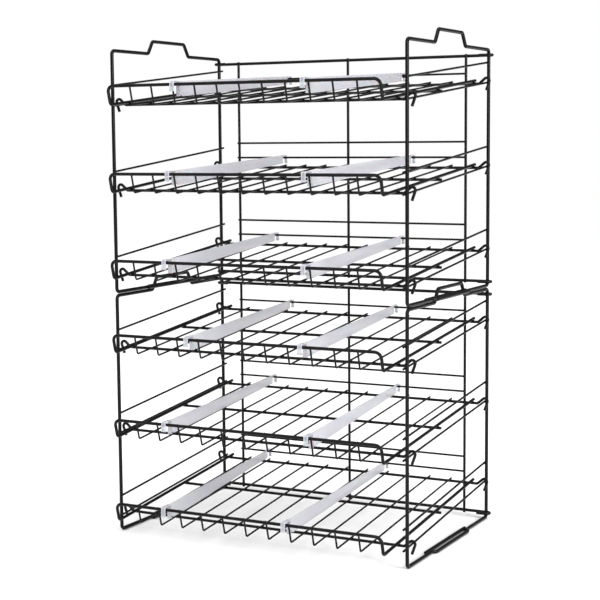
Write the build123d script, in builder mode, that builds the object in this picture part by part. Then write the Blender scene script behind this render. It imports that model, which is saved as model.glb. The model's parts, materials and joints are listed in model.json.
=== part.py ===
from build123d import *
import os
from math import atan2, cos, degrees, hypot, radians, tan

# Two stacked wire can racks with sloped shelves and sliding plastic lane dividers.
# Millimetres. +X is the rack's right seen from the front, +Y is the back, +Z is up.
# The origin is on the floor, at the centre of the whole footprint.

# Overall sizes of one rack unit, between wire centres
side_spacing = 450.0
side_depth = 294.0
side_height = 340.0
units = ("lower", "upper")

# Wire diameters
side_wire = 5.0
slope_wire = 3.0
rail_wire = 4.5
upright_wire = 4.0
back_wire = 3.0
rim_wire = 4.4
cross_wire = 4.0
floor_wire = 2.6

# Fits
weld_sink = 0.05
stack_gap = 0.3
lock_side_gap = 0.35
hook_gap = 0.6
hook_lift_gap = 0.35
leg_grip_gap = 0.15
clip_gap = 0.45

# Side frame: stacking bump on top, jogged bar and lock bar below
side_corner = 5.5
bump_base = 110.0
bump_top = 86.0
bump_height = 18.0
bump_corner = 5.0
jog_length = 129.0
jog_ramp = 6.0
jog_corner = 6.0
lock_bar_length = 145.0
weld_length = 6.0
weld_height = 2.4

# Tiers: sloped support wires and guard wires welded inside the legs
tiers = ("bottom", "middle", "top")
support_front_height = 22.5
slope_rise = 29.7
guard_above_support = 28.5
top_guard_below_bar = 18.3
slope_wire_overhang = 3.5

# Back panel
top_rail_drop = 7.5
rail_return = 13.0
upright_inset = 35.0
divider_wire_above_support = 13.8
second_wire_above = 22.5
back_wire_overhang = 1.0

# Shelf
rim_inset = 19.0
front_cross_from_leg = 16.0
rear_cross_from_leg = 9.0
rim_rear_from_leg = 4.0
floor_rear_past_cross = 3.0
cross_below_support = 0.5
middle_cross_past_rim = 5.0
hook_ramp_angle = 40.0
hook_tail_lean = 20.0
hook_tail = 10.0
hook_foot_bend = 2.6
hook_bend = 4.2
lip_ahead_of_leg = 33.5
lip_lean = 6.5
lip_height = 25.3
lip_corner = 9.0
lip_bend = 5.0
floor_bend = 3.2
floor_bays = 12
floor_end_below_rail = 0.3

# Dividers: plate with a clip over the lip rail and a hook over a back wire
plate_thickness = 1.8
plate_top_above_rail = 4.6
plate_height_front = 20.0
plate_above_floor_rear = 1.9
plate_from_rail = 12.0
plate_nose_drop = 7.0
plate_nose_length = 11.0
clip_width = 6.5
clip_thickness = 2.0
clip_leg = 9.5
rear_gap_from_wire = 8.0
rear_leg = 7.5
rear_strip_width = 4.0
knob_length = 5.0

# Where each divider stands across its shelf: at the lip and at the back wire
divider_places = {
    ("lower", "bottom"): ((-125.0, -140.0), (64.0, 64.0)),
    ("lower", "middle"): ((-122.0, -129.0), (99.0, 84.0)),
    ("lower", "top"): ((-84.0, -97.0), (91.0, 80.0)),
    ("upper", "bottom"): ((-117.0, -123.0), (97.0, 91.0)),
    ("upper", "middle"): ((-109.0, -107.0), (99.0, 108.0)),
    ("upper", "top"): ((-99.0, -98.0), (98.0, 93.0)),
}

# Heights of the side frame's two bars above the unit's underside
bottom_bar_z = side_wire / 2
top_bar_z = bottom_bar_z + side_height
stack_pitch = side_height + side_wire + stack_gap
highest_guard = side_height - top_guard_below_bar
lowest_guard = support_front_height + slope_rise + guard_above_support
tier_pitch = (highest_guard - lowest_guard) / (len(tiers) - 1)

# Depth positions, measured from the front legs until the footprint is centred
slope = slope_rise / side_depth
rail_from_leg = side_wire / 2 + leg_grip_gap + rail_wire / 2
lip_rail_from_leg = lip_ahead_of_leg + lip_lean
front_reach = lip_rail_from_leg + rim_wire / 2 + clip_gap + clip_thickness
rear_reach = rail_from_leg + rail_wire / 2
front_leg_y = (front_reach - rear_reach - side_depth) / 2
rear_leg_y = front_leg_y + side_depth
rail_y = rear_leg_y + rail_from_leg
upright_y = rail_y - rail_wire / 2 - upright_wire / 2 + weld_sink
back_wire_y = upright_y - upright_wire / 2 - back_wire / 2 + weld_sink
front_cross_y = front_leg_y + front_cross_from_leg
rear_cross_y = rear_leg_y - rear_cross_from_leg
lip_bend_y = front_leg_y - lip_ahead_of_leg
lip_rail_y = front_leg_y - lip_rail_from_leg

# Width positions
side_x = side_spacing / 2
slope_wire_x = side_x - side_wire / 2 - slope_wire / 2 + weld_sink
lock_bar_x = side_x - side_wire - lock_side_gap
jog_x = side_x + side_wire + lock_side_gap
upright_x = side_x - upright_inset
rim_x = side_x - rim_inset
floor_pitch = 2 * rim_x / floor_bays

os.makedirs("parts", exist_ok=True)


def tier_base(unit, tier):
    """Height of the support wire's centre where it passes the front leg."""
    unit_z = units.index(unit) * stack_pitch
    return unit_z + bottom_bar_z + support_front_height + tiers.index(tier) * tier_pitch


def support_z(unit, tier, y):
    """Height of the support wire's centre at depth y."""
    return tier_base(unit, tier) + slope * (y - front_leg_y)


def cross_z(unit, tier, y):
    """Height of the cross wires' centre at depth y."""
    return support_z(unit, tier, y) - cross_below_support


def rim_z(unit, tier, y):
    """Height of the rim's centre at depth y, lying on the cross wires."""
    return cross_z(unit, tier, y) + cross_wire / 2 + rim_wire / 2 - weld_sink


def floor_z(unit, tier, y):
    """Height of the floor wires' centre at depth y, lying on the cross wires."""
    return cross_z(unit, tier, y) + cross_wire / 2 + floor_wire / 2 - weld_sink


def divider_wire_z(unit, tier):
    """Height of the back wire that carries the dividers of a tier."""
    return support_z(unit, tier, rear_leg_y) + divider_wire_above_support


def start_plane(path):
    """Section plane at the start of a wire's path."""
    return Plane(origin=path @ 0, z_dir=path % 0)


def finish(part, name):
    """Label a sub-part and write its STEP file."""
    part.label = name
    export_step(part, f"parts/{name}.step")


def make_side_loop(unit, side, name):
    """Closed side loop: legs, top bar with the stacking bump, jogged bottom bar."""
    unit_z = units.index(unit) * stack_pitch
    low_z = unit_z + bottom_bar_z
    high_z = unit_z + top_bar_z
    middle_y = front_leg_y + side_depth / 2
    flat_x = side * side_x
    out_x = side * jog_x
    half_jog = jog_length / 2
    corners = [
        (flat_x, front_leg_y, low_z),
        (flat_x, front_leg_y, high_z),
        (flat_x, middle_y - bump_base / 2, high_z),
        (flat_x, middle_y - bump_top / 2, high_z + bump_height),
        (flat_x, middle_y + bump_top / 2, high_z + bump_height),
        (flat_x, middle_y + bump_base / 2, high_z),
        (flat_x, rear_leg_y, high_z),
        (flat_x, rear_leg_y, low_z),
        (flat_x, middle_y + half_jog, low_z),
        (out_x, middle_y + half_jog - jog_ramp, low_z),
        (out_x, middle_y - half_jog + jog_ramp, low_z),
        (flat_x, middle_y - half_jog, low_z),
    ]
    radii = [side_corner] * 2 + [bump_corner] * 4 + [side_corner] * 2 + [jog_corner] * 4
    with BuildPart() as loop:
        with BuildLine() as path:
            FilletPolyline(*corners, radius=radii, close=True)
        with BuildSketch(start_plane(path.wires()[0])):
            Circle(side_wire / 2)
        sweep(path=path.wires()[0])
    finish(loop.part, name)


def make_slope_wires(unit, side, above_support, name):
    """The three sloped wires of one kind, one for each tier, inside a side frame."""
    with BuildPart() as wires:
        for tier in tiers:
            x = side * slope_wire_x
            start_y = front_leg_y - slope_wire_overhang
            end_y = rear_leg_y + slope_wire_overhang
            with BuildLine() as path:
                Line(
                    (x, start_y, support_z(unit, tier, start_y) + above_support),
                    (x, end_y, support_z(unit, tier, end_y) + above_support),
                )
            with BuildSketch(start_plane(path.line)):
                Circle(slope_wire / 2)
            sweep(path=path.line)
    finish(wires.part, name)


def make_lock_bar(unit, side, name):
    """Straight bar welded inside the bottom bar, which traps the bump below it."""
    z = units.index(unit) * stack_pitch + bottom_bar_z
    middle_y = front_leg_y + side_depth / 2
    bar_x = side * lock_bar_x
    weld_x = side * (side_x + lock_bar_x) / 2
    weld_y = (lock_bar_length + jog_length) / 4
    with BuildPart() as bar:
        with BuildSketch(Plane.XZ.offset(-middle_y)):
            with Locations((bar_x, z)):
                Circle(side_wire / 2)
        extrude(amount=lock_bar_length / 2, both=True)
        for end in (-1, 1):
            with BuildSketch(Plane.XZ.offset(-(middle_y + end * weld_y))):
                with Locations((weld_x, z)):
                    Rectangle(lock_side_gap + 2 * weld_sink, weld_height)
            extrude(amount=weld_length / 2, both=True)
    finish(bar.part, name)


def make_rail(unit, height, name):
    """Back rail whose two ends turn round the rear legs."""
    z = units.index(unit) * stack_pitch + height
    turn = rail_from_leg
    front_y = rear_leg_y - turn
    with BuildPart() as rail:
        with BuildLine() as path:
            Line((-side_x + rail_return, front_y, z), (-side_x, front_y, z))
            ThreePointArc(
                (-side_x, front_y, z), (-side_x - turn, rear_leg_y, z), (-side_x, rail_y, z)
            )
            Line((-side_x, rail_y, z), (side_x, rail_y, z))
            ThreePointArc(
                (side_x, rail_y, z), (side_x + turn, rear_leg_y, z), (side_x, front_y, z)
            )
            Line((side_x, front_y, z), (side_x - rail_return, front_y, z))
        with BuildSketch(start_plane(path.wires()[0])):
            Circle(rail_wire / 2)
        sweep(path=path.wires()[0])
    finish(rail.part, name)


def make_uprights(unit, name):
    """Three uprights between the rails, on their front."""
    low_z = units.index(unit) * stack_pitch + bottom_bar_z + side_corner - rail_wire / 2
    high_z = units.index(unit) * stack_pitch + top_bar_z - top_rail_drop + rail_wire / 2
    with BuildPart() as uprights:
        with BuildSketch(Plane.XY.offset(low_z)):
            with Locations(*[(x, upright_y) for x in (-upright_x, 0, upright_x)]):
                Circle(upright_wire / 2)
        extrude(amount=high_z - low_z)
    finish(uprights.part, name)


def make_back_wires(unit, name):
    """Thin level wires on the front of the uprights; the lower one of a tier takes dividers."""
    heights = [divider_wire_z(unit, tier) for tier in tiers]
    heights += [height + second_wire_above for height in heights[:-1]]
    with BuildPart() as wires:
        with BuildSketch(Plane.YZ):
            with Locations(*[(back_wire_y, height) for height in heights]):
                Circle(back_wire / 2)
        extrude(amount=upright_x + back_wire_overhang, both=True)
    finish(wires.part, name)


def make_rim(unit, tier, name):
    """Rim and raised front lip, bent from one wire."""
    rear_y = rear_leg_y - rim_rear_from_leg
    rear_z = rim_z(unit, tier, rear_y)
    bend_z = rim_z(unit, tier, lip_bend_y)
    rail_z = bend_z + lip_height
    corners = [
        (-rim_x, rear_y, rear_z),
        (-rim_x, lip_bend_y, bend_z),
        (-rim_x, lip_rail_y, rail_z),
        (rim_x, lip_rail_y, rail_z),
        (rim_x, lip_bend_y, bend_z),
        (rim_x, rear_y, rear_z),
    ]
    with BuildPart() as rim:
        with BuildLine() as path:
            FilletPolyline(*corners, radius=[lip_bend, lip_corner, lip_corner, lip_bend])
        with BuildSketch(start_plane(path.wires()[0])):
            Circle(rim_wire / 2)
        sweep(path=path.wires()[0])
    finish(rim.part, name)


def make_cross_wires(unit, tier, name):
    """Front and rear cross wires that hook over the support wires, and a short middle one."""
    over = slope_wire / 2 + hook_gap + cross_wire / 2
    outside = slope_wire / 2 + hook_lift_gap + cross_wire / 2
    rise = tan(radians(hook_ramp_angle))
    lean = tan(radians(hook_tail_lean))
    # Ramp and tail are straight lines about the support wire's centre; the hook's bend joins them
    ramp_start = over / cos(radians(hook_ramp_angle))
    tail_start = outside + lean * hook_tail
    peak = (ramp_start + rise * tail_start) / (1 - rise * lean)
    foot_x = slope_wire_x - (cross_below_support + ramp_start) / rise
    middle_y = (front_cross_y + rear_cross_y) / 2
    with BuildPart() as wires:
        for y in (front_cross_y, rear_cross_y):
            level = cross_z(unit, tier, y)
            hang = support_z(unit, tier, y)
            half = [
                (slope_wire_x + outside, hang - hook_tail),
                (slope_wire_x + tail_start + lean * peak, hang + peak),
                (foot_x, level),
            ]
            left = [(-x, y, z) for x, z in half]
            right = [(x, y, z) for x, z in reversed(half)]
            radii = [hook_bend, hook_foot_bend, hook_foot_bend, hook_bend]
            with BuildLine() as path:
                FilletPolyline(*left, *right, radius=radii)
            with BuildSketch(start_plane(path.wires()[0])):
                Circle(cross_wire / 2)
            sweep(path=path.wires()[0])
        with BuildSketch(Plane.YZ):
            with Locations((middle_y, cross_z(unit, tier, middle_y))):
                Circle(cross_wire / 2)
        extrude(amount=rim_x + middle_cross_past_rim, both=True)
    finish(wires.part, name)


def make_floor_wires(unit, tier, name):
    """Thin wires along the shelf, turned up in front and lapped inside the lip rail."""
    rear_y = rear_cross_y + floor_rear_past_cross
    bend_z = floor_z(unit, tier, lip_bend_y)
    rail_z = rim_z(unit, tier, lip_bend_y) + lip_height
    lap = rim_wire / 2 + floor_wire / 2 - weld_sink
    lean = lip_lean / lip_height
    top_y = lip_rail_y + lap
    bend_y = top_y + lean * (rail_z - bend_z)
    with BuildPart() as wires:
        for bay in range(1, floor_bays):
            x = -rim_x + bay * floor_pitch
            with BuildLine() as path:
                FilletPolyline(
                    (x, rear_y, floor_z(unit, tier, rear_y)),
                    (x, bend_y, floor_z(unit, tier, bend_y)),
                    (x, top_y, rail_z - floor_end_below_rail),
                    radius=floor_bend,
                )
            with BuildSketch(start_plane(path.wires()[0])):
                Circle(floor_wire / 2)
            sweep(path=path.wires()[0])
    finish(wires.part, name)


def make_divider(unit, tier, place, name):
    """Plastic plate that hangs on the lip rail and on a back wire, free to slide across."""
    lip_x, back_x = place
    rail_z = rim_z(unit, tier, lip_bend_y) + lip_height
    wire_z = divider_wire_z(unit, tier)
    reach_y = back_wire_y - lip_rail_y
    run = hypot(reach_y, lip_x - back_x)
    turn = degrees(atan2(lip_x - back_x, reach_y))
    clip_in = rim_wire / 2 + clip_gap
    clip_out = clip_in + clip_thickness
    hook_in = back_wire / 2 + clip_gap
    hook_out = hook_in + clip_thickness
    wire_rise = wire_z - rail_z
    top_rear = wire_rise + hook_out
    plate_foot_front = plate_top_above_rail - plate_height_front
    plate_end = run - rear_gap_from_wire
    floor_top = floor_z(unit, tier, lip_rail_y + plate_end) + floor_wire / 2
    plate_foot_rear = floor_top + plate_above_floor_rear - rail_z
    straight = Plane(origin=(lip_x, lip_rail_y, rail_z), x_dir=(0, 1, 0), z_dir=(1, 0, 0))
    turned = straight.rotated((0, 0, turn))
    with BuildPart() as divider:
        # The plate, with the thin strips that reach over the rail and the back wire
        with BuildSketch(turned):
            Polygon(
                (-clip_out, clip_in),
                (-clip_out, clip_out),
                (plate_from_rail, plate_top_above_rail),
                (run + hook_out, top_rear),
                (run + hook_out, wire_rise + hook_in),
                (plate_end, wire_rise + hook_in),
                (plate_end, plate_foot_rear),
                (plate_from_rail + plate_nose_length, plate_foot_front),
                (plate_from_rail, -plate_nose_drop),
                (plate_from_rail, clip_in),
                align=None,
            )
        extrude(amount=plate_thickness / 2, both=True)
        # The front clip: a wider strip over the rail and down its front, with a foot
        with BuildSketch(turned):
            Polygon(
                (-clip_out, -clip_leg),
                (-clip_out, clip_out),
                (plate_from_rail, plate_top_above_rail),
                (plate_from_rail, clip_in),
                (-clip_in, clip_in),
                (-clip_in, -clip_leg),
                align=None,
            )
        extrude(amount=clip_width / 2, both=True)
        # The clip's tab behind the rail, across the plate's front edge
        with BuildSketch(turned):
            Polygon(
                (plate_from_rail, plate_foot_front),
                (plate_from_rail, plate_top_above_rail),
                (plate_from_rail + clip_thickness, plate_top_above_rail),
                (plate_from_rail + clip_thickness, plate_foot_front),
                align=None,
            )
        extrude(amount=clip_width / 2, both=True)
        # The rear hook: a strip over the back wire and down behind it, ending in a knob
        with BuildSketch(turned):
            Polygon(
                (plate_end, wire_rise + hook_in),
                (plate_end, top_rear),
                (run + hook_out, top_rear),
                (run + hook_out, wire_rise - rear_leg),
                (run + hook_in, wire_rise - rear_leg),
                (run + hook_in, wire_rise + hook_in),
                align=None,
            )
        extrude(amount=rear_strip_width / 2, both=True)
        with BuildSketch(turned):
            with Locations((run + hook_in + clip_thickness / 2, wire_rise - rear_leg)):
                Circle(clip_thickness / 2)
        extrude(amount=knob_length / 2, both=True)
    finish(divider.part, name)


for unit in units:
    for side, side_name in ((-1, "left"), (1, "right")):
        make_side_loop(unit, side, f"{unit}_{side_name}_side_loop")
        make_slope_wires(unit, side, 0, f"{unit}_{side_name}_support_wires")
        make_slope_wires(unit, side, guard_above_support, f"{unit}_{side_name}_guard_wires")
        make_lock_bar(unit, side, f"{unit}_{side_name}_lock_bar")
    make_rail(unit, bottom_bar_z + side_corner, f"{unit}_back_bottom_rail")
    make_rail(unit, top_bar_z - top_rail_drop, f"{unit}_back_top_rail")
    make_uprights(unit, f"{unit}_back_uprights")
    make_back_wires(unit, f"{unit}_back_wires")
    for tier in tiers:
        make_rim(unit, tier, f"{unit}_{tier}_shelf_rim")
        make_cross_wires(unit, tier, f"{unit}_{tier}_shelf_cross_wires")
        make_floor_wires(unit, tier, f"{unit}_{tier}_shelf_floor_wires")
        for side_name, place in zip(("left", "right"), divider_places[unit, tier]):
            make_divider(unit, tier, place, f"{unit}_{tier}_{side_name}_divider")
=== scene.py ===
import json
import math

import bmesh
import bpy
import numpy as np
from mathutils import Matrix, Vector


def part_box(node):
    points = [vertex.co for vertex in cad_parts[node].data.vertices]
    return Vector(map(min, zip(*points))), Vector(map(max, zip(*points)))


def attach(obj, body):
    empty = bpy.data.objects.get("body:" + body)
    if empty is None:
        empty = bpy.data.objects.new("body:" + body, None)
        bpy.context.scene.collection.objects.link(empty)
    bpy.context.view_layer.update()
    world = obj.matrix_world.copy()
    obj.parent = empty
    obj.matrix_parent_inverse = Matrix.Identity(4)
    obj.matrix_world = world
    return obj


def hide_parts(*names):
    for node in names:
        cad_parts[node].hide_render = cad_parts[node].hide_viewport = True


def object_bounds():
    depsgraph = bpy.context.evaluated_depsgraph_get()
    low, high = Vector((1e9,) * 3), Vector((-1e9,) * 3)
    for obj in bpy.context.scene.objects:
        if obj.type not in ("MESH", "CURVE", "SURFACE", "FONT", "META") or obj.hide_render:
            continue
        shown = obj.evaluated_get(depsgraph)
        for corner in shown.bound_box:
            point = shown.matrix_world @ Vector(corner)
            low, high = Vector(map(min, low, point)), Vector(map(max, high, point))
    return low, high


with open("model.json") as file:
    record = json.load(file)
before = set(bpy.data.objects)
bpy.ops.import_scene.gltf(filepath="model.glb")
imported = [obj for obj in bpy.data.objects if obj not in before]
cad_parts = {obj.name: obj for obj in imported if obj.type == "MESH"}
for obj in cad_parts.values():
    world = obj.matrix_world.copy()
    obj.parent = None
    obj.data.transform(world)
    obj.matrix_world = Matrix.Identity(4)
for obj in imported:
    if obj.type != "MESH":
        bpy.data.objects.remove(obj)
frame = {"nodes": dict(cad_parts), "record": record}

# Stacked wire can racks: powder-coated wires with welds and rounded ends, and moulded
# lane dividers. Metres. +X is the racks' right, +Y the back, +Z up.

UNITS = ("lower", "upper")
TIERS = ("bottom", "middle", "top")
SIDES = ("left", "right")
CAD_BOX = [list(corner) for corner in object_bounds()]

# Wire diameters
SIDE_WIRE = 0.005
SLOPE_WIRE = 0.003
RAIL_WIRE = 0.0045
UPRIGHT_WIRE = 0.004
BACK_WIRE = 0.003
RIM_WIRE = 0.0044
CROSS_WIRE = 0.004
FLOOR_WIRE = 0.0026

# Divider sizes
CLIP_GAP = 0.00045
CLIP_THICKNESS = 0.002
CLIP_WIDTH = 0.0065
CLIP_LEG = 0.0095
CLIP_ROUND = 0.0022
RIB_WIDTH = 0.0013
RIB_HEIGHT = 0.0005
FOOT_WIDTH = 0.0073
FOOT_HEIGHT = 0.0024
PLATE_THICKNESS = 0.0018
PLATE_TOP = 0.0046
PLATE_FRONT = 0.012
PLATE_NOSE_DROP = 0.007
PLATE_NOSE_LENGTH = 0.011
PLATE_HEIGHT_FRONT = 0.020
PLATE_HEIGHT_REAR = 0.013
PLATE_CORNER = 0.0016
REAR_GAP = 0.008
REAR_LEG = 0.0075
REAR_STRIP = 0.004
KNOB_LENGTH = 0.0052
KNOB_RADIUS = 0.0013
EDGE_ROUND = 0.00035
SHARP_ANGLE = 35


# ---------------------------------------------------------------- shader groups and finishes

def new_group(name, inputs, outputs):
    """A shader node group with its sockets, its input node and its output node."""
    group = bpy.data.node_groups.new(name, "ShaderNodeTree")
    for label, kind, value in inputs:
        socket = group.interface.new_socket(label, in_out="INPUT", socket_type=kind)
        socket.default_value = value
    for label, kind in outputs:
        group.interface.new_socket(label, in_out="OUTPUT", socket_type=kind)
    return group, group.nodes.new("NodeGroupInput"), group.nodes.new("NodeGroupOutput")


def noise_at(group, scale_from, position_from, detail):
    """A noise texture in a group, read at one position."""
    noise = group.nodes.new("ShaderNodeTexNoise")
    noise.inputs["Detail"].default_value = detail
    group.links.new(position_from, noise.inputs["Vector"])
    group.links.new(scale_from, noise.inputs["Scale"])
    return noise


def mottled_surface_group():
    """Slow patches of tone and gloss with a fine pebbled skin, as coatings and mouldings have."""
    group, given, result = new_group(
        "mottled_surface",
        [
            ("Dark Tone", "NodeSocketColor", (0.01, 0.01, 0.01, 1)),
            ("Light Tone", "NodeSocketColor", (0.02, 0.02, 0.02, 1)),
            ("Patch Scale", "NodeSocketFloat", 30.0),
            ("Gloss Low", "NodeSocketFloat", 0.3),
            ("Gloss High", "NodeSocketFloat", 0.45),
            ("Skin Scale", "NodeSocketFloat", 900.0),
            ("Skin Depth", "NodeSocketFloat", 1.0),
        ],
        [
            ("Color", "NodeSocketColor"),
            ("Roughness", "NodeSocketFloat"),
            ("Height", "NodeSocketFloat"),
        ],
    )
    place = group.nodes.new("ShaderNodeTexCoord").outputs["Object"]
    patches = noise_at(group, given.outputs["Patch Scale"], place, 3.0)
    tone = group.nodes.new("ShaderNodeMix")
    tone.data_type = "RGBA"
    group.links.new(patches.outputs["Fac"], tone.inputs["Factor"])
    group.links.new(given.outputs["Dark Tone"], tone.inputs["A"])
    group.links.new(given.outputs["Light Tone"], tone.inputs["B"])
    group.links.new(tone.outputs["Result"], result.inputs["Color"])
    gloss = group.nodes.new("ShaderNodeMapRange")
    group.links.new(patches.outputs["Fac"], gloss.inputs["Value"])
    group.links.new(given.outputs["Gloss Low"], gloss.inputs["To Min"])
    group.links.new(given.outputs["Gloss High"], gloss.inputs["To Max"])
    group.links.new(gloss.outputs["Result"], result.inputs["Roughness"])
    skin = noise_at(group, given.outputs["Skin Scale"], place, 2.0)
    depth = group.nodes.new("ShaderNodeMath")
    depth.operation = "MULTIPLY"
    group.links.new(skin.outputs["Fac"], depth.inputs[0])
    group.links.new(given.outputs["Skin Depth"], depth.inputs[1])
    group.links.new(depth.outputs["Value"], result.inputs["Height"])
    return group


def handling_marks_group():
    """A mask of small scattered rub marks, where parts are slid and handled."""
    group, given, result = new_group(
        "handling_marks",
        [
            ("Mark Scale", "NodeSocketFloat", 220.0),
            ("Threshold", "NodeSocketFloat", 0.66),
            ("Softness", "NodeSocketFloat", 0.05),
        ],
        [("Mask", "NodeSocketFloat")],
    )
    place = group.nodes.new("ShaderNodeTexCoord").outputs["Object"]
    marks = noise_at(group, given.outputs["Mark Scale"], place, 4.0)
    upper = group.nodes.new("ShaderNodeMath")
    upper.operation = "ADD"
    group.links.new(given.outputs["Threshold"], upper.inputs[0])
    group.links.new(given.outputs["Softness"], upper.inputs[1])
    edge = group.nodes.new("ShaderNodeMapRange")
    edge.interpolation_type = "SMOOTHSTEP"
    group.links.new(marks.outputs["Fac"], edge.inputs["Value"])
    group.links.new(given.outputs["Threshold"], edge.inputs["From Min"])
    group.links.new(upper.outputs["Value"], edge.inputs["From Max"])
    group.links.new(edge.outputs["Result"], result.inputs["Mask"])
    return group


SURFACE = mottled_surface_group()
MARKS = handling_marks_group()


def finish_material(name, surface, marks, mark_tone, skin_height, fixed):
    """A finish: mottled surface, rub marks over it, a bumped skin and the shader's own values."""
    material = bpy.data.materials.new(name)
    material.use_nodes = True
    nodes = material.node_tree.nodes
    links = material.node_tree.links
    shader = nodes["Principled BSDF"]
    base = nodes.new("ShaderNodeGroup")
    base.node_tree = SURFACE
    for label, value in surface.items():
        base.inputs[label].default_value = value
    rubs = nodes.new("ShaderNodeGroup")
    rubs.node_tree = MARKS
    for label, value in marks.items():
        rubs.inputs[label].default_value = value
    tone = nodes.new("ShaderNodeMix")
    tone.data_type = "RGBA"
    tone.inputs["B"].default_value = mark_tone
    links.new(rubs.outputs["Mask"], tone.inputs["Factor"])
    links.new(base.outputs["Color"], tone.inputs["A"])
    links.new(tone.outputs["Result"], shader.inputs["Base Color"])
    links.new(base.outputs["Roughness"], shader.inputs["Roughness"])
    bump = nodes.new("ShaderNodeBump")
    bump.inputs["Distance"].default_value = skin_height
    links.new(base.outputs["Height"], bump.inputs["Height"])
    links.new(bump.outputs["Normal"], shader.inputs["Normal"])
    for label, value in fixed.items():
        shader.inputs[label].default_value = value
    return material


def powder_coat(name, dark, light, gloss_low, gloss_high, skin_height):
    """Semi-gloss black powder coat."""
    return finish_material(
        name,
        {
            "Dark Tone": dark,
            "Light Tone": light,
            "Patch Scale": 38.0,
            "Gloss Low": gloss_low,
            "Gloss High": gloss_high,
            "Skin Scale": 650.0,
        },
        {"Mark Scale": 260.0, "Threshold": 0.68, "Softness": 0.05},
        (0.03, 0.027, 0.026, 1),
        skin_height,
        {"Coat Weight": 0.06, "Coat Roughness": 0.14, "Specular IOR Level": 0.1},
    )


def milky_plastic(name, dark, light, alpha):
    """Milky moulded plastic that lets a little of what is behind it through."""
    return finish_material(
        name,
        {
            "Dark Tone": dark,
            "Light Tone": light,
            "Patch Scale": 24.0,
            "Gloss Low": 0.3,
            "Gloss High": 0.42,
            "Skin Scale": 420.0,
        },
        {"Mark Scale": 90.0, "Threshold": 0.7, "Softness": 0.08},
        (0.76, 0.76, 0.78, 1),
        0.00003,
        {
            "Alpha": alpha,
            "Transmission Weight": 0.2,
            "Subsurface Weight": 0.25,
            "Subsurface Scale": 0.002,
            "IOR": 1.49,
        },
    )


WIRE_COAT = powder_coat(
    "wire_powder_coat",
    dark=(0.0024, 0.0022, 0.0029, 1),
    light=(0.0062, 0.0054, 0.0056, 1),
    gloss_low=0.24,
    gloss_high=0.34,
    skin_height=0.00001,
)
WELD_COAT = powder_coat(
    "weld_powder_coat",
    dark=(0.002, 0.002, 0.0024, 1),
    light=(0.0048, 0.0044, 0.0048, 1),
    gloss_low=0.34,
    gloss_high=0.5,
    skin_height=0.00003,
)
PLASTIC = milky_plastic(
    "milky_plastic", dark=(0.53, 0.53, 0.575, 1), light=(0.6, 0.6, 0.64, 1), alpha=0.84
)
THIN_PLASTIC = milky_plastic(
    "thin_plastic", dark=(0.5, 0.53, 0.62, 1), light=(0.58, 0.61, 0.69, 1), alpha=0.5
)


# ---------------------------------------------------------------- reading the CAD wires

# A wire's cut end is a flat disc: at least this many triangles and corners, hardly off round
FEWEST_END_FACES = 6
FEWEST_END_CORNERS = 8
ROUNDNESS_LIMIT = 1.12
SMALLEST_AREA = 1e-12


def mesh_arrays(node):
    """A CAD node's corner positions, and its triangles with coincident corners merged."""
    mesh = frame["nodes"][node].data
    points = np.array([v.co for v in mesh.vertices], float).reshape(-1, 3)
    faces = np.array([p.vertices[:3] for p in mesh.polygons], int)
    merged, where = np.unique(np.round(points, 6), axis=0, return_inverse=True)
    return merged, where.reshape(-1)[faces]


def separate_solids(points, faces):
    """The separate solids of a node, each as its own triangles."""
    group = np.arange(len(points))
    while True:
        lowest = group[faces].min(axis=1)
        before = group.copy()
        for corner in range(3):
            np.minimum.at(group, faces[:, corner], lowest)
        group = group[group]
        if np.array_equal(group, before):
            break
    owner = group[faces[:, 0]]
    return [faces[owner == label] for label in np.unique(owner)]


def solid_boxes(node):
    """Lowest and highest corner of every separate solid in a node, from low to high X then Z."""
    points, faces = mesh_arrays(node)
    boxes = []
    for solid in separate_solids(points, faces):
        corners = points[np.unique(solid)]
        boxes.append((corners.min(axis=0), corners.max(axis=0)))
    return sorted(boxes, key=lambda box: (round(box[0][0], 4), box[0][2]))


def cut_ends(node):
    """Centre, outward direction and radius of every flat round wire end in a node."""
    points, faces = mesh_arrays(node)
    ends = []
    corners = points[faces]
    normals = np.cross(corners[:, 1] - corners[:, 0], corners[:, 2] - corners[:, 0])
    areas = np.linalg.norm(normals, axis=1)
    real = areas > SMALLEST_AREA
    faces, corners, normals, areas = faces[real], corners[real], normals[real], areas[real]
    normals = normals / areas[:, None]
    offsets = np.einsum("ij,ij->i", normals, corners[:, 0])
    keys = np.column_stack([np.round(normals, 2), np.round(offsets, 5)])
    _, labels = np.unique(keys, axis=0, return_inverse=True)
    labels = labels.reshape(-1)
    counts = np.bincount(labels)
    for label in np.flatnonzero(counts >= FEWEST_END_FACES):
        plane = faces[labels == label]
        for disc in separate_solids(points, plane):
            rim = points[np.unique(disc)]
            if len(rim) < FEWEST_END_CORNERS:
                continue
            centre = (rim.min(axis=0) + rim.max(axis=0)) / 2
            reach = np.linalg.norm(rim - centre, axis=1)
            if reach.max() > ROUNDNESS_LIMIT * np.median(reach) or reach.max() > SIDE_WIRE:
                continue
            member = int(np.flatnonzero(labels == label)[0])
            ends.append((centre, normals[member], float(np.median(reach))))
    return ends


def height_under(node, x, y):
    """Height of a node's lowest surface at a place, or None where it has none."""
    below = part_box(node)[0].z - SIDE_WIRE
    hit, place, _, _ = frame["nodes"][node].ray_cast(Vector((x, y, below)), Vector((0, 0, 1)))
    return place.z if hit else None


def lip_rail(unit, tier):
    """Depth and height of the centre of a shelf's lip rail."""
    rim = f"{unit}_{tier}_shelf_rim"
    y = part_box(rim)[0].y + RIM_WIRE / 2
    return y, height_under(rim, 0, y) + RIM_WIRE / 2


# ---------------------------------------------------------------- geometry node trees

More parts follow.
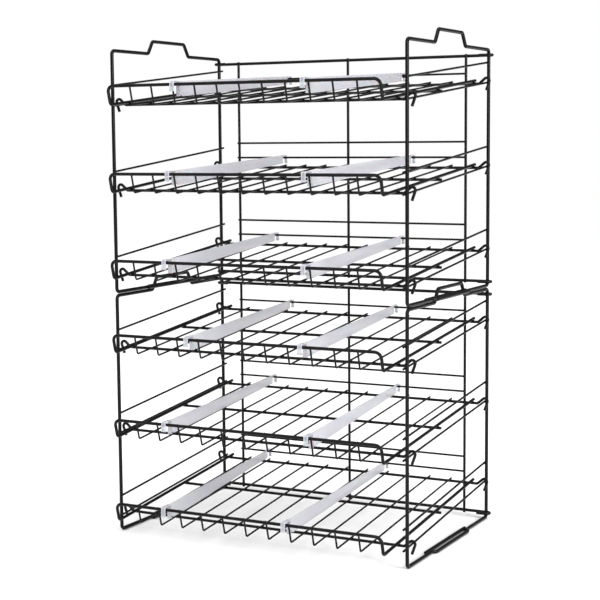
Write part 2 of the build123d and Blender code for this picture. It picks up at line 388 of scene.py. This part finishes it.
def tree_with_inputs(name, inputs):
    """A geometry node tree with a geometry socket, named inputs and its two end nodes."""
    tree = bpy.data.node_groups.new(name, "GeometryNodeTree")
    tree.interface.new_socket("Geometry", in_out="INPUT", socket_type="NodeSocketGeometry")
    for label, kind, value in inputs:
        socket = tree.interface.new_socket(label, in_out="INPUT", socket_type=kind)
        if value is not None:
            socket.default_value = value
    tree.interface.new_socket("Geometry", in_out="OUTPUT", socket_type="NodeSocketGeometry")
    return tree, tree.nodes.new("NodeGroupInput"), tree.nodes.new("NodeGroupOutput")


def named_vector(tree, name):
    """A node that reads a vector stored on the points."""
    reader = tree.nodes.new("GeometryNodeInputNamedAttribute")
    reader.data_type = "FLOAT_VECTOR"
    reader.inputs["Name"].default_value = name
    return reader.outputs["Attribute"]


def bead_tree():
    """Small rounded beads on points, each turned and sized by the point's own vectors."""
    tree, given, result = tree_with_inputs(
        "coating_beads",
        [
            ("Segments", "NodeSocketInt", 10),
            ("Rings", "NodeSocketInt", 6),
            ("Size Spread", "NodeSocketFloat", 0.1),
            ("Seed", "NodeSocketInt", 7),
            ("Material", "NodeSocketMaterial", None),
        ],
    )
    ball = tree.nodes.new("GeometryNodeMeshUVSphere")
    ball.inputs["Radius"].default_value = 1.0
    tree.links.new(given.outputs["Segments"], ball.inputs["Segments"])
    tree.links.new(given.outputs["Rings"], ball.inputs["Rings"])
    smooth = tree.nodes.new("GeometryNodeSetShadeSmooth")
    tree.links.new(ball.outputs["Mesh"], smooth.inputs["Geometry"])
    low = tree.nodes.new("ShaderNodeMath")
    low.operation = "SUBTRACT"
    low.inputs[0].default_value = 1.0
    tree.links.new(given.outputs["Size Spread"], low.inputs[1])
    high = tree.nodes.new("ShaderNodeMath")
    high.operation = "ADD"
    high.inputs[0].default_value = 1.0
    tree.links.new(given.outputs["Size Spread"], high.inputs[1])
    spread = tree.nodes.new("FunctionNodeRandomValue")
    spread.data_type = "FLOAT"
    tree.links.new(low.outputs["Value"], spread.inputs[2])
    tree.links.new(high.outputs["Value"], spread.inputs[3])
    tree.links.new(given.outputs["Seed"], spread.inputs["Seed"])
    size = tree.nodes.new("ShaderNodeVectorMath")
    size.operation = "SCALE"
    tree.links.new(named_vector(tree, "bead_size"), size.inputs["Vector"])
    tree.links.new(spread.outputs[1], size.inputs["Scale"])
    turn = tree.nodes.new("FunctionNodeEulerToRotation")
    tree.links.new(named_vector(tree, "bead_turn"), turn.inputs["Euler"])
    place = tree.nodes.new("GeometryNodeInstanceOnPoints")
    tree.links.new(given.outputs["Geometry"], place.inputs["Points"])
    tree.links.new(smooth.outputs["Geometry"], place.inputs["Instance"])
    tree.links.new(turn.outputs["Rotation"], place.inputs["Rotation"])
    tree.links.new(size.outputs["Vector"], place.inputs["Scale"])
    real = tree.nodes.new("GeometryNodeRealizeInstances")
    tree.links.new(place.outputs["Instances"], real.inputs["Geometry"])
    paint = tree.nodes.new("GeometryNodeSetMaterial")
    tree.links.new(real.outputs["Geometry"], paint.inputs["Geometry"])
    tree.links.new(given.outputs["Material"], paint.inputs["Material"])
    tree.links.new(paint.outputs["Geometry"], result.inputs["Geometry"])
    return tree


BEADS = bead_tree()


def bead_axes(along, stack):
    """Rotation whose X is along a wire and whose Z points from one wire to the other."""
    z_axis = Vector(stack).normalized()
    x_axis = Vector(along)
    x_axis = (x_axis - z_axis * x_axis.dot(z_axis)).normalized()
    turn = Matrix((x_axis, z_axis.cross(x_axis), z_axis)).transposed()
    return turn.to_euler()


def grow_beads(name, spots, body, settings):
    """One mesh of beads for one body; a spot is a place, a rotation and three half sizes."""
    mesh = bpy.data.meshes.new(name + "_spots")
    mesh.from_pydata([spot[0] for spot in spots], [], [])
    turns = mesh.attributes.new("bead_turn", "FLOAT_VECTOR", "POINT")
    sizes = mesh.attributes.new("bead_size", "FLOAT_VECTOR", "POINT")
    turns.data.foreach_set("vector", [value for spot in spots for value in spot[1]])
    sizes.data.foreach_set("vector", [value for spot in spots for value in spot[2]])
    seedling = bpy.data.objects.new(name + "_seedling", mesh)
    bpy.context.scene.collection.objects.link(seedling)
    modifier = seedling.modifiers.new("beads", "NODES")
    modifier.node_group = BEADS
    for item in BEADS.interface.items_tree:
        if item.in_out == "INPUT" and item.name in settings:
            modifier[item.identifier] = settings[item.name]
    grown = seedling.evaluated_get(bpy.context.evaluated_depsgraph_get())
    result = bpy.data.meshes.new_from_object(grown)
    result.name = name
    bpy.data.objects.remove(seedling)
    piece = bpy.data.objects.new(name, result)
    bpy.context.scene.collection.objects.link(piece)
    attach(piece, body)
    return piece


# ---------------------------------------------------------------- welds and wire ends

# Half sizes of a bead, as shares of the wires' radii
WELD_DEPTH = 0.6
END_CROWN = 0.32
END_SPREAD = 0.992
WELD_VARIATION = 0.12


def weld(place, along, stack, wire, other_wire):
    """The coated weld where a wire, running along, lies on another wire."""
    size = (other_wire / 2, wire / 2, WELD_DEPTH * min(wire, other_wire) / 2)
    return Vector(place), bead_axes(along, stack), size


def shelf_welds(unit, tier):
    """Welds of one shelf: floor wires and rim on the cross wires, floor wires on the lip rail."""
    shelf = f"{unit}_{tier}_shelf"
    cross = f"{shelf}_cross_wires"
    rim_low, rim_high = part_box(f"{shelf}_rim")
    floor_boxes = solid_boxes(f"{shelf}_floor_wires")
    floor_x = [(low[0] + high[0]) / 2 for low, high in floor_boxes]
    rim_x = [rim_low.x + RIM_WIRE / 2, rim_high.x - RIM_WIRE / 2]
    spots = []
    for low, high in solid_boxes(cross):
        y = (low[1] + high[1]) / 2
        for wire, places in ((FLOOR_WIRE, floor_x), (RIM_WIRE, rim_x)):
            for x in places:
                z = height_under(cross, x, y)
                if z is not None:
                    spots.append(
                        weld((x, y, z + CROSS_WIRE), (0, 1, 0), (0, 0, 1), wire, CROSS_WIRE)
                    )
    rail_y, rail_z = lip_rail(unit, tier)
    for x in floor_x:
        place = (x, rail_y + RIM_WIRE / 2, rail_z)
        spots.append(weld(place, (0, 0, 1), (0, 1, 0), FLOOR_WIRE, RIM_WIRE))
    return spots


def side_welds(unit, side):
    """Welds of the sloped wires on the two legs of one side frame."""
    low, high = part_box(f"{unit}_{side}_side_loop")
    spots = []
    for kind in ("support_wires", "guard_wires"):
        for start, end in solid_boxes(f"{unit}_{side}_{kind}"):
            run = Vector((0, end[1] - start[1], end[2] - start[2] - SLOPE_WIRE))
            outer = start[0] if side == "left" else end[0]
            for leg_y in (low.y + SIDE_WIRE / 2, high.y - SIDE_WIRE / 2):
                share = (leg_y - start[1]) / (end[1] - start[1])
                z = start[2] + SLOPE_WIRE / 2 + share * run.z
                spots.append(weld((outer, leg_y, z), run, (1, 0, 0), SLOPE_WIRE, SIDE_WIRE))
    return spots


def back_welds(unit):
    """Welds of the back panel: uprights on the rails, and thin wires on the uprights."""
    spots = []
    for low, high in solid_boxes(f"{unit}_back_uprights"):
        x = (low[0] + high[0]) / 2
        for rail in ("bottom", "top"):
            rail_low, rail_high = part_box(f"{unit}_back_{rail}_rail")
            place = (x, high[1], (rail_low.z + rail_high.z) / 2)
            spots.append(weld(place, (0, 0, 1), (0, 1, 0), UPRIGHT_WIRE, RAIL_WIRE))
        for wire_low, wire_high in solid_boxes(f"{unit}_back_wires"):
            place = (x, low[1], (wire_low[2] + wire_high[2]) / 2)
            spots.append(weld(place, (0, 0, 1), (0, 1, 0), UPRIGHT_WIRE, BACK_WIRE))
    return spots


def rounded_ends(nodes):
    """The coating's rounded crowns over the cut wire ends of some nodes."""
    spots = []
    for node in nodes:
        for centre, facing, radius in cut_ends(node):
            aside = (0, 0, 1) if abs(facing[2]) < 0.9 else (1, 0, 0)
            size = (END_SPREAD * radius, END_SPREAD * radius, END_CROWN * radius)
            spots.append((Vector(centre), bead_axes(aside, facing), size))
    return spots


def dress_body(body, welds):
    """Adds a body's welds and the rounded ends of its wires."""
    nodes = frame["record"]["behaviour"]["bodies"][body]
    grow_beads(f"{body}_welds", welds, body, {"Material": WELD_COAT, "Size Spread": WELD_VARIATION})
    grow_beads(
        f"{body}_wire_ends",
        rounded_ends(nodes),
        body,
        {"Material": WIRE_COAT, "Segments": 14, "Rings": 8, "Size Spread": 0.0},
    )


for node in frame["nodes"].values():
    for material_slot in node.material_slots:
        material_slot.material = WIRE_COAT

for unit in UNITS:
    rack_welds = back_welds(unit)
    for side in SIDES:
        rack_welds += side_welds(unit, side)
    dress_body(f"{unit}_rack", rack_welds)
    for tier in TIERS:
        dress_body(f"{unit}_{tier}_shelf", shelf_welds(unit, tier))


# ---------------------------------------------------------------- dividers

# A divider mesh has the milky plastic first, then the thin plastic of the clip's web
THIN_SLOT = 1


def arc(centre, radius, start, end, steps=6):
    """Points on an arc, angles in degrees from the divider's rearward direction."""
    points = []
    for step in range(steps + 1):
        angle = math.radians(start + (end - start) * step / steps)
        points.append((centre[0] + radius * math.cos(angle), centre[1] + radius * math.sin(angle)))
    return points


def rounded(corners, radius, steps=4):
    """An outline with each of its corners rounded."""
    points = []
    for index, corner in enumerate(corners):
        here = Vector(corner)
        before = Vector(corners[index - 1]) - here
        after = Vector(corners[(index + 1) % len(corners)]) - here
        reach = min(radius, 0.45 * before.length, 0.45 * after.length)
        start = here + before.normalized() * reach
        end = here + after.normalized() * reach
        for step in range(steps + 1):
            t = step / steps
            points.append(start * (1 - t) ** 2 + here * 2 * t * (1 - t) + end * t * t)
    return [(point[0], point[1]) for point in points]


def add_slab(bm, outline, middle, width, bevel):
    """A closed slab with rounded edges: an outline in depth and height, given a width across."""
    near = [bm.verts.new((middle - width / 2, y, z)) for y, z in outline]
    far = [bm.verts.new((middle + width / 2, y, z)) for y, z in outline]
    count = len(outline)
    faces = [bm.faces.new(near), bm.faces.new(far)]
    for index in range(count):
        after = (index + 1) % count
        faces.append(bm.faces.new((near[index], near[after], far[after], far[index])))
    bmesh.ops.recalc_face_normals(bm, faces=faces)
    rims = [edge for face in faces[:2] for edge in face.edges]
    bmesh.ops.bevel(
        bm, geom=rims, offset=bevel, offset_type="OFFSET", segments=2, profile=0.5, affect="EDGES"
    )


# The knob's round end: where its full radius and its narrowed radius lie along its length
KNOB_FULL_AT = 0.38
KNOB_NARROW_AT = 0.47
KNOB_NARROWING = 0.72


def add_knob(bm, centre_y, centre_z, length, radius):
    """A short round-ended peg that lies across the divider."""
    ring_count = 12
    full = KNOB_FULL_AT * length
    narrow = KNOB_NARROW_AT * length
    tip = KNOB_NARROWING * radius
    profile = [(0.0, -length / 2), (tip, -narrow), (radius, -full)]
    profile += [(radius, full), (tip, narrow), (0.0, length / 2)]
    rings = []
    for reach, across in profile[1:-1]:
        ring = []
        for step in range(ring_count):
            angle = 2 * math.pi * step / ring_count
            y = centre_y + reach * math.cos(angle)
            z = centre_z + reach * math.sin(angle)
            ring.append(bm.verts.new((across, y, z)))
        rings.append(ring)
    poles = [bm.verts.new((profile[end][1], centre_y, centre_z)) for end in (0, -1)]
    faces = []
    for step in range(ring_count):
        after = (step + 1) % ring_count
        faces.append(bm.faces.new((poles[0], rings[0][after], rings[0][step])))
        faces.append(bm.faces.new((poles[1], rings[-1][step], rings[-1][after])))
        for first, second in zip(rings, rings[1:]):
            faces.append(bm.faces.new((first[step], first[after], second[after], second[step])))
    bmesh.ops.recalc_face_normals(bm, faces=faces)


def divider_mesh(name, run, rise):
    """A divider in its own frame: the lip rail's centre at the origin, the plate along +Y."""
    rail_in = RIM_WIRE / 2 + CLIP_GAP
    rail_out = rail_in + CLIP_THICKNESS
    wire_in = BACK_WIRE / 2 + CLIP_GAP
    wire_out = wire_in + CLIP_THICKNESS
    plate_end = run - REAR_GAP
    top_rear = rise + wire_out
    shoulder = (CLIP_ROUND - rail_out, rail_out - CLIP_ROUND)
    heel = (run + wire_out - CLIP_ROUND, top_rear - CLIP_ROUND)
    plate = [
        (PLATE_FRONT, PLATE_TOP),
        (run - wire_in, top_rear),
        (run - wire_in, rise + wire_in),
        (plate_end, rise + wire_in),
        (plate_end, top_rear - PLATE_HEIGHT_REAR),
        (PLATE_FRONT + PLATE_NOSE_LENGTH, PLATE_TOP - PLATE_HEIGHT_FRONT),
        (PLATE_FRONT, -PLATE_NOSE_DROP),
    ]
    web_top = PLATE_TOP - RIB_HEIGHT
    clip = [(-rail_out + RIB_HEIGHT, -CLIP_LEG)]
    clip += arc(shoulder, CLIP_ROUND - RIB_HEIGHT, 180, 90)
    clip += [(PLATE_FRONT + PLATE_CORNER, web_top), (PLATE_FRONT + PLATE_CORNER, rail_in)]
    clip += arc((0, 0), rail_in, 90, 180)
    clip += [(-rail_in, -CLIP_LEG)]
    rib_root = 2 * RIB_HEIGHT
    rib = [(-rail_out, -CLIP_LEG)]
    rib += arc(shoulder, CLIP_ROUND, 180, 90)
    rib += [(PLATE_FRONT, PLATE_TOP), (PLATE_FRONT, PLATE_TOP - rib_root)]
    rib += arc(shoulder, CLIP_ROUND - rib_root, 90, 180)
    rib += [(-rail_out + rib_root, -CLIP_LEG)]
    foot = rounded(
        [
            (-rail_out, -CLIP_LEG),
            (-rail_out, -CLIP_LEG + FOOT_HEIGHT),
            (-rail_in, -CLIP_LEG + FOOT_HEIGHT),
            (-rail_in, -CLIP_LEG),
        ],
        2 * EDGE_ROUND,
    )
    tab = rounded(
        [
            (PLATE_FRONT, PLATE_TOP - PLATE_HEIGHT_FRONT),
            (PLATE_FRONT, PLATE_TOP),
            (PLATE_FRONT + CLIP_THICKNESS, PLATE_TOP),
            (PLATE_FRONT + CLIP_THICKNESS, PLATE_TOP - PLATE_HEIGHT_FRONT),
        ],
        2 * EDGE_ROUND,
    )
    hook = [(plate_end, rise + wire_in), (plate_end, top_rear - EDGE_ROUND)]
    hook += arc(heel, CLIP_ROUND, 90, 0)
    hook += [(run + wire_out, rise - REAR_LEG), (run + wire_in, rise - REAR_LEG)]
    hook += arc((run, rise), wire_in, 0, 90)
    bm = bmesh.new()
    add_slab(bm, clip, 0, CLIP_WIDTH - 2 * EDGE_ROUND, EDGE_ROUND)
    for face in bm.faces:
        face.material_index = THIN_SLOT
    add_slab(bm, rounded(plate, PLATE_CORNER), 0, PLATE_THICKNESS, EDGE_ROUND)
    for side in (-1, 1):
        add_slab(bm, rib, side * (CLIP_WIDTH - RIB_WIDTH) / 2, RIB_WIDTH, 0.6 * EDGE_ROUND)
    add_slab(bm, foot, 0, FOOT_WIDTH, EDGE_ROUND)
    add_slab(bm, tab, 0, CLIP_WIDTH, EDGE_ROUND)
    add_slab(bm, hook, 0, REAR_STRIP, EDGE_ROUND)
    knob_y = run + wire_in + CLIP_THICKNESS / 2
    add_knob(bm, knob_y, rise - REAR_LEG, KNOB_LENGTH, KNOB_RADIUS)
    mesh = bpy.data.meshes.new(name)
    bm.to_mesh(mesh)
    bm.free()
    return mesh


def make_divider(unit, tier, side):
    """The moulded divider that stands for a CAD divider, hung where that one hangs."""
    body = f"{unit}_{tier}_{side}_divider"
    corners = np.array([v.co for v in frame["nodes"][body].data.vertices], float)
    low, high = corners.min(axis=0), corners.max(axis=0)
    front_x = corners[corners[:, 1] < low[1] + CLIP_THICKNESS / 2][:, 0]
    rear_x = corners[corners[:, 1] > high[1] - CLIP_THICKNESS / 2][:, 0]
    lip_x = (front_x.min() + front_x.max()) / 2
    back_x = (rear_x.min() + rear_x.max()) / 2
    wires_low, wires_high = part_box(f"{unit}_back_wires")
    rail = Vector((lip_x, *lip_rail(unit, tier)))
    reach_y = (wires_low.y + wires_high.y) / 2 - rail.y
    rise = high[2] - BACK_WIRE / 2 - CLIP_GAP - CLIP_THICKNESS - rail.z
    mesh = divider_mesh(f"{body}_moulding", math.hypot(reach_y, lip_x - back_x), rise)
    yaw = math.atan2(lip_x - back_x, reach_y)
    mesh.transform(Matrix.Translation(rail) @ Matrix.Rotation(yaw, 4, "Z"))
    mesh.materials.append(PLASTIC)
    mesh.materials.append(THIN_PLASTIC)
    mesh.polygons.foreach_set("use_smooth", [True] * len(mesh.polygons))
    mesh.set_sharp_from_angle(angle=math.radians(SHARP_ANGLE))
    piece = bpy.data.objects.new(f"{body}_moulding", mesh)
    bpy.context.scene.collection.objects.link(piece)
    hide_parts(body)
    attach(piece, body)


for unit in UNITS:
    for tier in TIERS:
        for side in SIDES:
            make_divider(unit, tier, side)


# ---------------------------------------------------------------- floor, light and camera

FLOOR_RADIUS = 6.0
FLOOR_GAP = 0.0005
WHITE = (1, 1, 1, 1)
OBJECT_MIDDLE = (0, 0, 0.35)
SKY_ANGLE = 100


def make_floor():
    """A plain pale floor."""
    bm = bmesh.new()
    bmesh.ops.create_circle(bm, cap_ends=True, radius=FLOOR_RADIUS, segments=96)
    mesh = bpy.data.meshes.new("studio_floor")
    bm.to_mesh(mesh)
    bm.free()
    material = bpy.data.materials.new("pale_floor")
    material.use_nodes = True
    shader = material.node_tree.nodes["Principled BSDF"]
    shader.inputs["Base Color"].default_value = (0.9, 0.9, 0.9, 1)
    shader.inputs["Roughness"].default_value = 0.9
    mesh.materials.append(material)
    floor = bpy.data.objects.new("studio_floor", mesh)
    floor.location.z = -FLOOR_GAP
    bpy.context.scene.collection.objects.link(floor)


def soft_light(name, place, aim, size, power):
    """A square soft light that faces a point."""
    data = bpy.data.lights.new(name, "AREA")
    data.shape = "SQUARE"
    data.size = size
    data.energy = power
    lamp = bpy.data.objects.new(name, data)
    lamp.location = place
    lamp.rotation_euler = (Vector(aim) - Vector(place)).to_track_quat("-Z", "Y").to_euler()
    bpy.context.scene.collection.objects.link(lamp)


def even_light(name, place, aim, angle, strength):
    """A broad even light from far off, which reaches the whole floor alike."""
    data = bpy.data.lights.new(name, "SUN")
    data.angle = angle
    data.energy = strength
    lamp = bpy.data.objects.new(name, data)
    lamp.location = place
    lamp.rotation_euler = (Vector(aim) - Vector(place)).to_track_quat("-Z", "Y").to_euler()
    bpy.context.scene.collection.objects.link(lamp)


def make_world():
    """A white surround to look at, which lights the object more dimly than it looks."""
    world = bpy.data.worlds.new("studio")
    world.use_nodes = True
    bpy.context.scene.world = world
    nodes = world.node_tree.nodes
    links = world.node_tree.links
    seen = nodes["Background"]
    seen.inputs["Color"].default_value = WHITE
    seen.inputs["Strength"].default_value = 1.0
    cast = nodes.new("ShaderNodeBackground")
    cast.inputs["Color"].default_value = WHITE
    cast.inputs["Strength"].default_value = 0.2
    path = nodes.new("ShaderNodeLightPath")
    mix = nodes.new("ShaderNodeMixShader")
    links.new(path.outputs["Is Camera Ray"], mix.inputs["Fac"])
    links.new(cast.outputs["Background"], mix.inputs[1])
    links.new(seen.outputs["Background"], mix.inputs[2])
    links.new(mix.outputs["Shader"], nodes["World Output"].inputs["Surface"])


def make_camera():
    """The camera, to the racks' right and a little above their middle."""
    azimuth = math.radians(27.62)
    elevation = math.radians(6.19)
    roll = math.radians(-0.46)
    distance = 2.1157
    middle = (Vector(CAD_BOX[0]) + Vector(CAD_BOX[1])) / 2
    aim = middle + Vector((0.003, -0.001, -0.0208))
    back = Vector(
        (
            math.sin(azimuth) * math.cos(elevation),
            -math.cos(azimuth) * math.cos(elevation),
            math.sin(elevation),
        )
    )
    data = bpy.data.cameras.new("camera")
    data.lens = 88.64
    data.sensor_width = 36.0
    data.clip_end = 50.0
    camera = bpy.data.objects.new("camera", data)
    turn = back.to_track_quat("Z", "Y") @ Matrix.Rotation(roll, 3, "Z").to_quaternion()
    camera.rotation_euler = turn.to_euler()
    camera.location = aim + back * distance
    bpy.context.scene.collection.objects.link(camera)
    bpy.context.scene.camera = camera


bpy.context.scene.view_settings.view_transform = "Standard"
make_floor()
make_world()
soft_light("key", (-0.5, -2.7, 1.6), OBJECT_MIDDLE, size=0.8, power=24)
soft_light("fill", (2.6, -0.9, 1.0), OBJECT_MIDDLE, size=0.9, power=75)
even_light("sky", (0.3, -0.6, 3.0), (0, 0, 0), angle=math.radians(SKY_ANGLE), strength=3.5)
make_camera()
